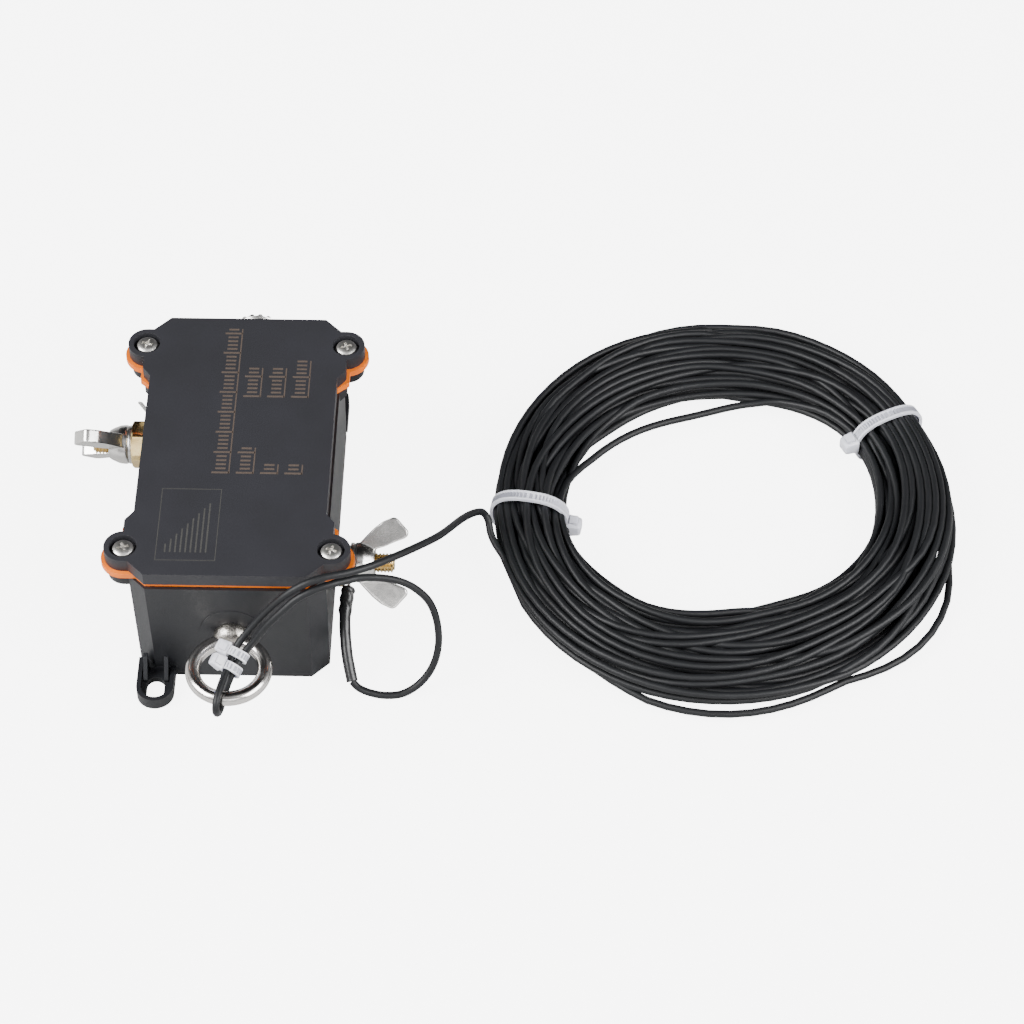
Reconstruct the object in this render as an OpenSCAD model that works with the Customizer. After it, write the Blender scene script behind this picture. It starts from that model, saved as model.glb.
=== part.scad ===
// Matching box for an end-fed wire antenna: sealed case, coax socket, two wing-nut terminals,
// eye bolt for strain relief, ring-core transformer inside and the coiled antenna wire.
// Origin: centre of the case's underside. +X to the wire terminal, -Y to the eye bolt, +Z up.

/* [Case] */
// Width of the base under the gasket
body_w = 56; // [55:0.5:57]
// Length of the base and the lid
body_l = 98.5; // [97.5:0.5:99.5]
// Height of the base
base_h = 40; // [39:0.5:42]
// Thickness of the gasket
gasket_t = 2; // [1.5:0.5:2.5]
// Thickness of the lid
lid_t = 4.5; // [4:0.5:6]
// Width of the lid's flat between the ears
lid_w = 55; // [54:0.5:56]
// Thickness of the floor
floor_t = 2.5; // [2:0.5:3]
// Spacing of the lid screws across the case
screw_dx = 59; // [58:0.5:60]
// Spacing of the lid screws along the case
screw_dy = 78; // [77:0.5:79]
// Radius of the lid's screw ears
ear_r = 5.5; // [5:0.25:6]

/* [Terminals] */
// Height of the terminals, the socket and the eye bolt above the underside
axis_z = 20; // [19:0.5:21]
// Distance of each terminal from the middle of the case
term_y = 22; // [20:0.5:23]
// Thread diameter of the terminal bolts
bolt_d = 5.9; // [5:0.1:6]
// Distance across flats of the brass nuts
nut_af = 12.7; // [12:0.1:13]
// Span of a wing nut over its two tips
wing_span = 27; // [24:0.5:28]
// Angle of the right wing nut about its bolt
right_wing_angle = 42; // [0:1:180]
// Angle of the left wing nut about its bolt
left_wing_angle = 120; // [0:1:180]

/* [Coax socket] */
// Thread diameter of the socket's barrel
barrel_d = 15.88; // [15.6:0.02:16]
// Length of the barrel in front of its flange
barrel_l = 17; // [13:0.5:18]
// Side of the square flange
flange_w = 25.4; // [25:0.2:26]

/* [Eye bolt] */
// Radius of the ring's centre line
ring_r = 10.3; // [10:0.1:10.6]
// Thickness of the ring
ring_d = 4.3; // [3.8:0.1:4.3]

/* [Wire] */
// Outer diameter of the antenna wire
wire_d = 2.2; // [1.8:0.1:2.2]
// Outer radius of the coil
coil_r = 70; // [68:1:72]
// Width of the coil's bundle
coil_w = 26; // [20:1:27]
// Height of the coil's bundle
coil_h = 14; // [12:1:15]

/* [Hidden] */

e = 0.01;
fine = 64;
lid_z = base_h + gasket_t;
top_z = lid_z + lid_t;
draft = 0.56;
corner = 5;
cavity_w = 50.4;
cavity_l = 93.2;
cavity_corner = 4;
pad_x = 28;
pad_y = body_l / 2;
wall_in_x = cavity_w / 2;
wall_in_y = cavity_l / 2;
boss_z = 35.5;
block_x = screw_dx / 2 + 0.4;
// Axial stacks of the terminals, measured from the case's middle
tag_t = 0.8;
washer_t = 1;
left_nut_t = 5.4;
right_nut_t = 3.4;
left_nut_x = pad_x + tag_t;
left_washer_x = left_nut_x + left_nut_t;
right_washer_a_x = pad_x + right_nut_t;
lug_x = right_washer_a_x + washer_t;
right_washer_b_x = lug_x + tag_t;
left_wing_x = left_washer_x + washer_t + 0.1;
right_wing_x = right_washer_b_x + washer_t + 0.1;
bolt_tip = 45.3;
hub_r = 5.6;
hub_l = 5.2;
wing_l = 15.4;
wing_t = 2.2;
washer_r = 5.75;
washer_hole = bolt_d / 2 + 0.08;
head_r = 3.2;
// Screw head sits this far under the lid's top
head_sink = 0.3;
head_h = 2.2;
ring_c = [0.6, -pad_y - 0.35 - ring_r - ring_d / 2, axis_z];
collar_r = 5.2;
coil_band = 3.8;
flange_t = 2.5;
flange_hole = 9.1;
shaft_r = 2.5;
// Transformer
core_r = [11.45, 17.8];
core_h = 12.7;
core_c = [0, 0, 14.6];
winding_a = 4.25;
winding_b = 7.6;
// Coil of antenna wire
coil_c = [142, 10, coil_h / 2 + 1.4];
tie_t = 1.2;

// Antenna wire, from the sleeve's end, over the floor, past the front right ear, twice through
// the two small ties and round the ring, then back past the ear and down to the coil
lead_route = [[34.5, -52.5, 3], [36.5, -53.8, 1.6], [40, -55.2, 1.2], [44.5, -56, 1.2],
    [49.5, -55.3, 1.5], [54.5, -53, 4], [58, -50.5, 9], [59.5, -47.5, 15], [59, -44, 21],
    [57, -42, 27], [53.5, -41.5, 32], [49.5, -42, 36], [45, -43.2, 39], [40.5, -45, 41.5],
    [37, -47, 43.5], [34, -48.8, 44.5], [30, -51, 45.5], [25, -53, 45], [20.5, -54.5, 43],
    [16.5, -56, 39.5], [12, -57.3, 34.5], [8.5, -58.2, 29], [6, -59, 25.8], [4.5, -60.5, 24.2],
    [2.6, -63.8, 23], [1.2, -66.2, 21], [0, -68.4, 18.6], [-0.8, -71, 16.6], [-1.4, -74, 16.4],
    [-1.8, -76.2, 18.2], [-1.9, -76.8, 21.2], [-1.5, -74.8, 23.4], [-0.5, -70, 24.2],
    [0.8, -65, 24.4], [2.2, -59.5, 25], [4, -56.8, 26.8], [7.5, -55, 31], [12, -54, 37],
    [17, -53.5, 43], [22.5, -52.5, 47], [28.5, -50.8, 48.4], [34.5, -48.8, 48],
    [41, -45.2, 46.8], [46.5, -40.5, 44.8], [53, -33.5, 41.2], [59.5, -24.5, 36],
    [65, -10, 26], [68.5, -2.6, 20.2], [70.8, -0.2, 17.4], [72.3, -1.2, 15], [73, -4, 13],
    [74.4, -7, 11.6]];
sleeve_route = [[32.8, -29, 17.2], [32.3, -32, 16], [32, -38.5, 13.2], [32.8, -46, 8],
    [34.5, -52.5, 3]];
// Leads inside the case: socket pin to primary, earth tag to left terminal, left terminal to the
// common end of both windings, secondary to right terminal, and the capacitor's two legs
socket_lead_route = [[0, 34.3, 20], [1, 31, 20.8], [5, 25, 23], [9, 17, 24.6], [11, 11.8, 23.6],
    [11.2, 9.6, 22.6]];
earth_lead_route = [[-11.5, 43.6, 5.1], [-13, 39, 7], [-18, 34, 10], [-22, 31, 15],
    [-23.1, 28.7, 18.6]];
common_lead_route = [[3.2, 14, 22.6], [0.5, 15.5, 23.4], [-2, 14.6, 22.8], [-6, 18, 24],
    [-14, 25, 25], [-20, 29.5, 23.5], [-23.1, 29.6, 21.4]];
antenna_lead_route = [[12.1, -8.2, 22.6], [15, -10, 24.5], [19, -12.4, 24.5], [22, -14, 23],
    [23.1, -14.6, 20.4]];
cap_leg_a = [[-5, 38, 14.5], [-4.4, 37.6, 17], [-1.5, 37, 19.2]];
cap_leg_b = [[-5, 38, 5.5], [-7, 39.6, 4.7], [-10.4, 42, 4.6]];

function unit(v) = v / norm(v);

// Point on a smooth curve through p, between point i and the next
function curve_point(p, i, t) = let (a = p[max(i - 1, 0)], b = p[i], c = p[i + 1],
    d = p[min(i + 2, len(p) - 1)])
    0.5 * (2 * b + (c - a) * t + (2 * a - 5 * b + 4 * c - d) * t * t
        + (3 * b - a - 3 * c + d) * t * t * t);
function smooth(p, n) = [for (i = [0 : len(p) - 2], k = [0 : n - 1]) curve_point(p, i, k / n),
    p[len(p) - 1]];
function tangent(p, i) = unit(p[min(i + 1, len(p) - 1)] - p[max(i - 1, 0)]);
function any_side(t) = unit(cross(t, abs(t.z) < 0.9 ? [0, 0, 1] : [1, 0, 0]));
// Side vectors carried along the route without twist
function sides(p, i = 0, u = undef) = i >= len(p) ? [] : let (t = tangent(p, i),
    s = is_undef(u) ? any_side(t) : unit(u - (u * t) * t))
    concat([s], sides(p, i + 1, s));

// Round tube of diameter d along the points p, with n sides
module tube(p, d, n = 8) {
    m = len(p);
    s = sides(p);
    rings = [for (i = [0 : m - 1], k = [0 : n - 1]) let (t = tangent(p, i), a = 360 * k / n)
        p[i] + d / 2 * (cos(a) * s[i] + sin(a) * cross(t, s[i]))];
    walls = [for (i = [0 : m - 2], k = [0 : n - 1]) let (j = (k + 1) % n)
        [i * n + k, (i + 1) * n + k, (i + 1) * n + j, i * n + j]];
    near_end = [for (k = [0 : n - 1]) k];
    far_end = [for (k = [n - 1 : -1 : 0]) (m - 1) * n + k];
    polyhedron(rings, concat(walls, [near_end, far_end]), convexity = 10);
}

// Points of a winding round the core: half widths a and b, from angle a0 to a1
function rounded(v) = sign(v) * sqrt(abs(v));
function winding(turns, a0, a1, a, b, per_turn = 16) = let (n = turns * per_turn)
    [for (i = [0 : n]) let (q = 360 * i / per_turn + 90, w = a0 + (a1 - a0) * i / n,
        r = (core_r[0] + core_r[1]) / 2 + a * rounded(cos(q)))
        core_c + [r * cos(w), r * sin(w), b * rounded(sin(q))]];

// Cylinder from x0 to x1 along X, at the terminal height
module bar_x(x0, x1, y, r) {
    translate([min(x0, x1), y, axis_z]) rotate([0, 90, 0])
        cylinder(r = r, h = abs(x1 - x0), $fn = fine);
}

// Cylinder from y0 to y1 along Y
module bar_y(y0, y1, x, z, r) {
    translate([x, max(y0, y1), z]) rotate([90, 0, 0]) cylinder(r = r, h = abs(y1 - y0), $fn = fine);
}

// Flat ring from x0 to x1 along X
module ring_x(x0, x1, y, r, hole) {
    difference() {
        bar_x(x0, x1, y, r);
        bar_x(min(x0, x1) - 1, max(x0, x1) + 1, y, hole);
    }
}

// Hexagon nut along X, af across flats, turned by a
module nut_x(x0, x1, y, af, hole, a = 0) {
    difference() {
        translate([min(x0, x1), y, axis_z]) rotate([0, 90, 0]) rotate([0, 0, a])
            cylinder(r = af / sqrt(3), h = abs(x1 - x0), $fn = 6);
        bar_x(min(x0, x1) - 1, max(x0, x1) + 1, y, hole);
    }
}

// Closed oval of w by h, fuller than an ellipse
function full(v) = sign(v) * pow(abs(v), 0.8);
function oval(w, h) = [for (a = [0 : 15 : 345]) [w / 2 * full(cos(a)), h / 2 * full(sin(a))]];

module octagon(w, l, c) {
    polygon([[w / 2 - c, -l / 2], [w / 2, c - l / 2], [w / 2, l / 2 - c], [w / 2 - c, l / 2],
        [c - w / 2, l / 2], [-w / 2, l / 2 - c], [-w / 2, c - l / 2], [c - w / 2, -l / 2]]);
}

module at_ears() {
    for (sx = [-1, 1], sy = [-1, 1]) scale_sign(sx, sy) children();
}

module scale_sign(sx, sy) {
    mirror([sx < 0 ? 1 : 0, 0, 0]) mirror([0, sy < 0 ? 1 : 0, 0]) children();
}

// Outline of the case seen from above, with screw ears of radius r; g widens the ear blocks
module case_outline(w, l, r, g = 0) {
    flat = body_w / 2 - corner;
    tangent_y = screw_dy / 2 + r;
    octagon(w, l, w / 2 - flat);
    at_ears() {
        translate([screw_dx / 2, screw_dy / 2]) circle(r = r, $fn = fine);
        polygon([[flat - 4, 26 - g], [w / 2 - e, 26 - g], [block_x + g, 29.2 - g],
            [block_x + g, screw_dy / 2], [screw_dx / 2, tangent_y],
            [flat + (l / 2 - tangent_y), tangent_y], [flat, l / 2 - e], [flat - 4, l / 2 - e]]);
    }
}

module foot_outline(inset) {
    r = 5.4 - inset;
    translate([-22.3, -55.9]) circle(r = r, $fn = fine);
    polygon([[-22.3 - r, -55.9], [-22.3 + r, -55.9], [-22.3 + r, -48 - inset],
        [-23 - inset, -48 - inset], [-25.6, -45.6 - inset], [-22.3 - r, -45.6 - inset]]);
}

module foot_slot() {
    hull() {
        for (y = [-56.9, -54.1]) translate([-22.3, y, -1]) cylinder(r = 2.6, h = 8, $fn = 32);
    }
}

module foot() {
    difference() {
        linear_extrude(4) foot_outline(0);
        translate([0, 0, 2.2]) linear_extrude(4) foot_outline(1.3);
        foot_slot();
    }
    for (x = [-25.3, -19.3]) translate([x - 0.6, 0, 0]) rotate([90, 0, 90])
        linear_extrude(1.2) polygon([[-47.6, 0.5], [-47.6, 8.6], [-49, 8.6], [-53.2, 3], [-53.2, 0.5]]);
}

module base_shell() {
    color("#2c2d31") difference() {
        union() {
            hull() {
                linear_extrude(1) octagon(body_w - 2 * draft, body_l - 2 * draft, corner);
                translate([0, 0, base_h - 1]) linear_extrude(1) octagon(body_w, body_l, corner);
            }
            translate([0, 0, boss_z]) linear_extrude(base_h - boss_z)
                case_outline(body_w - 1, body_l - 1, 5);
            foot();
            rotate([0, 0, 180]) foot();
            bar_x(-pad_x, -pad_x + 2, term_y, 8);
            bar_x(pad_x - 2, pad_x, -term_y, 8);
            bar_y(-pad_y, -pad_y + 2, ring_c.x, axis_z + 1.5, 9);
            translate([-flange_w / 2 - 1, pad_y - 2, axis_z - flange_w / 2 - 1])
                cube([flange_w + 2, 2, flange_w + 2]);
        }
        translate([0, 0, floor_t]) linear_extrude(base_h) octagon(cavity_w, cavity_l, cavity_corner);
        at_ears() translate([screw_dx / 2, screw_dy / 2, boss_z - 1])
            cylinder(r = 1.55, h = 10, $fn = fine);
        bar_x(-pad_x - 1, -wall_in_x + 1, term_y, bolt_d / 2 + 0.15);
        bar_x(wall_in_x - 1, pad_x + 1, -term_y, bolt_d / 2 + 0.15);
        bar_y(-pad_y - 1, -wall_in_y + 1, ring_c.x, axis_z, shaft_r + 0.15);
        bar_y(wall_in_y - 1, pad_y + 1, 0, axis_z, 8.2);
        for (sx = [-1, 1], sz = [-1, 1])
            bar_y(wall_in_y - 1, pad_y + 1, sx * flange_hole, axis_z + sz * flange_hole, 1.6);
    }
}

module lid() {
    color("#3d3c41") difference() {
        union() {
            translate([0, 0, lid_z]) linear_extrude(lid_t) case_outline(lid_w, body_l, ear_r);
            translate([0, 0, lid_z - 3.4]) linear_extrude(3.4 + e)
                difference() {
                    octagon(cavity_w - 0.8, cavity_l - 0.8, cavity_corner);
                    octagon(cavity_w - 4.4, cavity_l - 4.4, cavity_corner - 1);
                }
        }
        at_ears() translate([screw_dx / 2, screw_dy / 2, lid_z - 1]) {
            cylinder(r = 1.8, h = lid_t + 2, $fn = fine);
            translate([0, 0, lid_t + 1 - head_sink - head_h]) cylinder(r = 3.95, h = 4, $fn = fine);
        }
    }
}

module gasket() {
    color("#e8792a") translate([0, 0, base_h]) linear_extrude(gasket_t) difference() {
        case_outline(body_w - 2.4, body_l - 2, ear_r + 1.1, 0.9);
        octagon(cavity_w, cavity_l, cavity_corner);
        at_ears() translate([screw_dx / 2, screw_dy / 2]) circle(r = 1.9, $fn = fine);
    }
}

module lid_screws() {
    head_z = top_z - head_sink - head_h;
    color("#d8d8dc") at_ears() translate([screw_dx / 2, screw_dy / 2, head_z]) difference() {
        union() {
            rotate_extrude($fn = fine) polygon([[0, 0], [head_r, 0], [head_r, 1.1],
                [2.9, 1.7], [2.2, 2.05], [1.2, head_h], [0, head_h]]);
            translate([0, 0, 36 - head_z]) cylinder(r = 1.5, h = head_z - 36 + e, $fn = fine);
        }
        for (a = [20, 110]) rotate([0, 0, a]) translate([-1.6, -0.35, 1]) cube([3.2, 0.7, 2]);
    }
}

module coax_socket() {
    front = pad_y + flange_t;
    color("#c9c9cf") difference() {
        union() {
            translate([-flange_w / 2, pad_y, axis_z - flange_w / 2]) cube([flange_w, flange_t, flange_w]);
            bar_y(front - e, front + barrel_l, 0, axis_z, barrel_d / 2);
            bar_y(43.5, pad_y + e, 0, axis_z, 7.9);
        }
        bar_y(42, front + barrel_l + 1, 0, axis_z, 6.2);
        for (sx = [-1, 1], sz = [-1, 1])
            bar_y(pad_y - 1, front + 1, sx * flange_hole, axis_z + sz * flange_hole, 1.6);
        for (k = [0 : 17]) translate([0, front + barrel_l - 1, axis_z]) rotate([0, 20 * k, 0])
            translate([-0.6, 0, 5]) cube([1.2, 2, 4]);
    }
}

module socket_insulator() {
    color("#ece9e0") difference() {
        bar_y(41, pad_y + flange_t + barrel_l - 3, 0, axis_z, 6.15);
        bar_y(40, 80, 0, axis_z, 2.65);
    }
}

module socket_contact() {
    front = pad_y + flange_t + barrel_l - 3;
    color("#c9a14a") difference() {
        union() {
            bar_y(40, front, 0, axis_z, 2.6);
            bar_y(34, 40 + e, 0, axis_z, 1.6);
        }
        bar_y(front - 13, front + 1, 0, axis_z, 2);
        translate([-0.3, front - 8, axis_z - 3]) cube([0.6, 9, 6]);
    }
}

module socket_screws() {
    front = pad_y + flange_t;
    color("#d8d8dc") for (sx = [-1, 1], sz = [-1, 1])
        translate([sx * flange_hole, front, axis_z + sz * flange_hole]) difference() {
            union() {
                rotate([-90, 0, 0]) rotate_extrude($fn = fine) polygon([[0, 0], [2.8, 0], [2.8, 0.9],
                    [2.3, 1.5], [1.2, 1.8], [0, 1.8]]);
                rotate([90, 0, 0]) cylinder(r = 1.5, h = front - 42.2, $fn = fine);
            }
            for (a = [15, 105]) rotate([0, a, 0]) translate([-1.4, 0.9, -0.3]) cube([2.8, 2, 0.6]);
        }
}

module socket_nuts() {
    color("#c9c9cf") for (sx = [-1, 1], sz = [-1, 1]) {
        tagged = sx < 0 && sz < 0 ? 0.5 : 0;
        translate([sx * flange_hole, wall_in_y - tagged - 0.02, axis_z + sz * flange_hole])
            rotate([90, 0, 0]) difference() {
                cylinder(r = 5.5 / sqrt(3), h = 2.4, $fn = 6);
                translate([0, 0, -1]) cylinder(r = 1.52, h = 5, $fn = fine);
            }
    }
}

module earth_tag() {
    z = axis_z - flange_hole;
    color("#c9c9cf") difference() {
        union() {
            bar_y(wall_in_y - 0.5, wall_in_y - 0.02, -flange_hole, z, 3.2);
            translate([-flange_hole - 3, wall_in_y - 0.5, z - 7]) cube([2, 0.48, 7]);
            translate([-flange_hole - 3, 41.4, z - 7]) cube([2, wall_in_y - 41.4, 0.5]);
        }
        bar_y(40, 50, -flange_hole, z, 1.6);
    }
}

// Terminal bolt with its hexagon head inside the case; s is -1 on the left and 1 on the right
module terminal_bolt(s) {
    seat = wall_in_x - tag_t - washer_t;
    color("#c9a14a") {
        bar_x(s * (seat - e), s * bolt_tip, -s * term_y, bolt_d / 2);
        bar_x(s * (bolt_tip - e), s * (bolt_tip + 0.6), -s * term_y, bolt_d / 2 - 0.5);
        translate([s > 0 ? seat - 4 : -seat, -s * term_y, axis_z]) rotate([0, 90, 0])
            cylinder(r = 10 / sqrt(3), h = 4, $fn = 6);
    }
}

module left_bolt() {
    terminal_bolt(-1);
}

module right_bolt() {
    terminal_bolt(1);
}

module inner_washers() {
    color("#c9c9cf") for (s = [-1, 1])
        ring_x(s * wall_in_x, s * (wall_in_x - washer_t), -s * term_y, 6, bolt_d / 2 + 0.1);
}

module inner_tags() {
    seat = wall_in_x - washer_t;
    color("#c9c9cf") for (s = [-1, 1]) difference() {
        union() {
            bar_x(s * seat, s * (seat - tag_t), -s * term_y, 5);
            translate([s > 0 ? seat - tag_t : -seat, s > 0 ? -term_y + 4 : term_y + 4, axis_z - 2])
                cube([tag_t, 4.5, 4]);
        }
        bar_x(s * (seat + 1), s * (seat - 3), -s * term_y, bolt_d / 2 + 0.1);
        bar_x(s * (seat + 1), s * (seat - 3), s > 0 ? -term_y + 7 : term_y + 7, 0.9);
    }
}

module left_hex_nut() {
    color("#c9a14a") nut_x(-left_nut_x, -left_nut_x - left_nut_t, term_y, nut_af, bolt_d / 2 + 0.03, 20);
}

module right_hex_nut() {
    color("#c9a14a") nut_x(pad_x, pad_x + right_nut_t, -term_y, nut_af, bolt_d / 2 + 0.03, 10);
}

module left_solder_tag() {
    color("#c9c9cf") difference() {
        union() {
            bar_x(-pad_x, -pad_x - tag_t, term_y, 6);
            translate([-pad_x, term_y, axis_z]) rotate([40, 0, 0]) linear_extrude(4, center = true)
                polygon([[0, 4], [0, 8.1], [-4, 12.8], [-4.8, 12.8], [-4.8, 12.3], [-tag_t, 7.7], [-tag_t, 4]]);
        }
        bar_x(-pad_x + 1, -pad_x - 3, term_y, bolt_d / 2 + 0.1);
    }
}

module left_washer() {
    color("#c9c9cf") ring_x(-left_washer_x, -left_washer_x - washer_t, term_y, washer_r, washer_hole);
}

module right_washer() {
    color("#c9c9cf") ring_x(right_washer_b_x, right_washer_b_x + washer_t, -term_y, washer_r,
        washer_hole);
}

module right_lug_washer() {
    color("#c9c9cf") ring_x(right_washer_a_x, right_washer_a_x + washer_t, -term_y, washer_r,
        washer_hole);
}

// Wing nut along +X with its seat at the origin: hub, then two wings that lean outwards
module wing_profile() {
    tip = wing_span / 2;
    polygon([[0.8, 3.4], [1, 5.2], [5.4, 9.9], [8.4, tip - 1], [11, tip], [12.6, tip - 0.6],
        [wing_l, tip - 4.4], [wing_l - 0.6, tip - 5.9], [11.4, 6.2], [8.4, 5], [hub_l - 0.3, 3.4]]);
}

module wing_nut() {
    color("#d2d2d6") difference() {
        union() {
            rotate([0, 90, 0]) rotate_extrude($fn = fine) polygon([[0, 0], [hub_r, 0], [hub_r, 0.8],
                [4.4, 3.6], [4.2, hub_l], [0, hub_l]]);
            for (s = [0, 180]) rotate([s, 0, 0]) translate([0, 0, -wing_t / 2])
                linear_extrude(wing_t) wing_profile();
        }
        translate([-1, 0, 0]) rotate([0, 90, 0]) cylinder(r = bolt_d / 2 + 0.06, h = wing_l, $fn = fine);
    }
}

module left_wing_nut() {
    translate([-left_wing_x, term_y, axis_z]) mirror([1, 0, 0]) rotate([left_wing_angle, 0, 0])
        wing_nut();
}

module right_wing_nut() {
    translate([right_wing_x, -term_y, axis_z]) rotate([right_wing_angle, 0, 0]) wing_nut();
}

module ring_lug() {
    lug_dir = -158;
    color("#c9c9cf") difference() {
        union() {
            bar_x(lug_x, lug_x + tag_t, -term_y, 5);
            translate([lug_x, -term_y, axis_z]) rotate([lug_dir, 0, 0]) translate([0, 3, -1.5])
                cube([tag_t, 4.6, 3]);
        }
        bar_x(lug_x - 1, lug_x + 2, -term_y, bolt_d / 2 + 0.1);
    }
}

module lug_sleeve() {
    color("#1b1b1d") tube(smooth(sleeve_route, 2), 3.4);
}

module eye_bolt() {
    wall_end = -39.6;
    color("#cfcfd3") {
        translate(ring_c) rotate_extrude($fn = fine) translate([ring_r, 0]) circle(d = ring_d, $fn = 32);
        difference() {
            bar_y(-pad_y, ring_c.y + ring_r, ring_c.x, axis_z, collar_r);
            translate([ring_c.x, ring_c.y, axis_z - 10]) cylinder(r = ring_r, h = 20, $fn = fine);
        }
        bar_y(wall_end, -pad_y - e, ring_c.x, axis_z, shaft_r);
    }
}

module eye_washer() {
    color("#c9c9cf") difference() {
        bar_y(-wall_in_y, -wall_in_y + 1.2, ring_c.x, axis_z, 6);
        bar_y(-50, -40, ring_c.x, axis_z, shaft_r + 0.1);
    }
}

module eye_nut() {
    color("#c9c9cf") difference() {
        translate([ring_c.x, -wall_in_y + 1.2, axis_z]) rotate([-90, 0, 0])
            cylinder(r = 8 / sqrt(3), h = 4, $fn = 6);
        bar_y(-50, -38, ring_c.x, axis_z, shaft_r + 0.03);
    }
}

module core_pad() {
    color("#6a6a6a") translate([-15, -15, floor_t]) cube([30, 30, 4]);
}

module ferrite_core() {
    c = 1;
    color("#39393b") translate(core_c - [0, 0, core_h / 2]) rotate_extrude($fn = fine)
        polygon([[core_r[0] + c, 0], [core_r[1] - c, 0], [core_r[1], c], [core_r[1], core_h - c],
            [core_r[1] - c, core_h], [core_r[0] + c, core_h], [core_r[0], core_h - c], [core_r[0], c]]);
}

module primary_winding() {
    color("#c4552d") tube(winding(2, 40, 78, winding_a, winding_b), 1.1, 6);
}

module secondary_winding() {
    color("#b5652d") tube(winding(14, 98, 326, winding_a, winding_b), 0.9, 6);
}

module capacitor() {
    color("#c98a3a") {
        translate([-5, 39.6, 10]) rotate([90, 0, 0]) cylinder(r = 4.7, h = 3.2, $fn = fine);
        tube(cap_leg_a, 0.6, 6);
        tube(cap_leg_b, 0.6, 6);
    }
}

module lead_socket() {
    color("#a32020") tube(smooth(socket_lead_route, 3), 1.6);
}

module lead_earth() {
    color("#202020") tube(smooth(earth_lead_route, 3), 1.6);
}

module lead_common() {
    color("#202020") tube(smooth(common_lead_route, 3), 1.6);
}

module lead_antenna() {
    color("#a32020") tube(smooth(antenna_lead_route, 3), 1.6);
}

module wire_lead() {
    color("#232427") tube(lead_route, wire_d);
}

module wire_coil() {
    color("#232427") translate(coil_c) rotate_extrude($fn = 96) translate([coil_r - coil_w / 2, 0])
        polygon(oval(coil_w, coil_h));
}

// Cable tie round an oval bundle of w by h that runs along X: band and head
module cable_tie(w, h, band, t, head) {
    rotate([90, 0, 90]) linear_extrude(band, center = true) difference() {
        polygon(oval(w + 2 * t, h + 2 * t));
        polygon(oval(w, h));
    }
    translate([-head.x / 2, w / 2 + t / 2, -head.z / 2]) cube(head);
}

// Small tie at the ring: c is its middle, dip and turn give the strands' direction, roll the
// slant of the pair of strands
module ring_tie(c, roll, dip, turn) {
    color("#e6e6ee") translate(c) rotate([roll, dip, turn]) mirror([0, 1, 0])
        cable_tie(5.8, 3.2, 2.6, 0.8, [4.4, 4.4, 3.2]);
}

module ring_tie_a() {
    ring_tie([3.3, -60.2, 24.6], -15, 20, -118);
}

module ring_tie_b() {
    ring_tie([1.6, -64.4, 23.4], -40, 15, -111);
}

module coil_tie(angle) {
    color("#e6e6ee") translate(coil_c) rotate([0, 0, angle]) translate([coil_r - coil_w / 2, 0, 0])
        rotate([0, 0, 90]) cable_tie(coil_w + 0.3, coil_h + 0.3, coil_band, tie_t, [6, 7.6, 5.6]);
}

module coil_tie_left() {
    coil_tie(184);
}

module coil_tie_right() {
    coil_tie(30);
}

base_shell();
lid();
gasket();
lid_screws();
coax_socket();
socket_insulator();
socket_contact();
socket_screws();
socket_nuts();
earth_tag();
left_bolt();
right_bolt();
inner_washers();
inner_tags();
left_hex_nut();
right_hex_nut();
left_solder_tag();
left_washer();
left_wing_nut();
right_lug_washer();
ring_lug();
lug_sleeve();
right_washer();
right_wing_nut();
eye_bolt();
eye_nut();
eye_washer();
core_pad();
ferrite_core();
primary_winding();
secondary_winding();
capacitor();
lead_socket();
lead_earth();
lead_common();
lead_antenna();
wire_lead();
wire_coil();
ring_tie_a();
ring_tie_b();
coil_tie_left();
coil_tie_right();
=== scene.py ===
# Matching box for an end-fed wire antenna: finishes, threads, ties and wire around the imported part.
# Units are metres; the settings in the dictionaries are in millimetres unless they say otherwise.
import math
import random

import bmesh
import bpy
import numpy as np
from mathutils import Matrix, Vector


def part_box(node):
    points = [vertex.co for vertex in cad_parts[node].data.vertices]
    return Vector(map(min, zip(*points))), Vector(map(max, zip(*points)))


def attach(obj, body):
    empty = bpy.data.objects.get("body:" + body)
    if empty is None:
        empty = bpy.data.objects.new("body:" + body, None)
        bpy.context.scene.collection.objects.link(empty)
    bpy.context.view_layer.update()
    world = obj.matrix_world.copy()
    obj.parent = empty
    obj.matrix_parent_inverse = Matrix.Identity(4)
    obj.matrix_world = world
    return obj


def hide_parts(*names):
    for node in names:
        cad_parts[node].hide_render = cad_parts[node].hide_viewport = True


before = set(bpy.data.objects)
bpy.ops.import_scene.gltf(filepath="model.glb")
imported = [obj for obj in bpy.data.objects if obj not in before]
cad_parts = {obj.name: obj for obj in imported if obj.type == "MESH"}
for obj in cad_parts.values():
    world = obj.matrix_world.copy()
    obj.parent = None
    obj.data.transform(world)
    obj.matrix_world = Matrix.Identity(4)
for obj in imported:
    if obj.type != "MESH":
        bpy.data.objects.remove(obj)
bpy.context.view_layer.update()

mm = 0.001
turn = 2 * math.pi
print("stage: frame loaded")


def toLinear(hexColour):
    # sRGB hex to the linear numbers that a shader wants
    parts = [int(hexColour[i:i + 2], 16) / 255 for i in (1, 3, 5)]
    return tuple(c / 12.92 if c <= 0.04045 else ((c + 0.055) / 1.055) ** 2.4 for c in parts) + (1.0,)


def addNode(tree, kind, settings=None, links=None):
    # one node: settings are its properties or input values, links are input: (node, output)
    node = tree.nodes.new(kind)
    for key, value in (settings or {}).items():
        if isinstance(key, str) and hasattr(node, key):
            setattr(node, key, value)
        else:
            node.inputs[key].default_value = value
    for key, (source, output) in (links or {}).items():
        tree.links.new(source.outputs[output], node.inputs[key])
    return node


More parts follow.
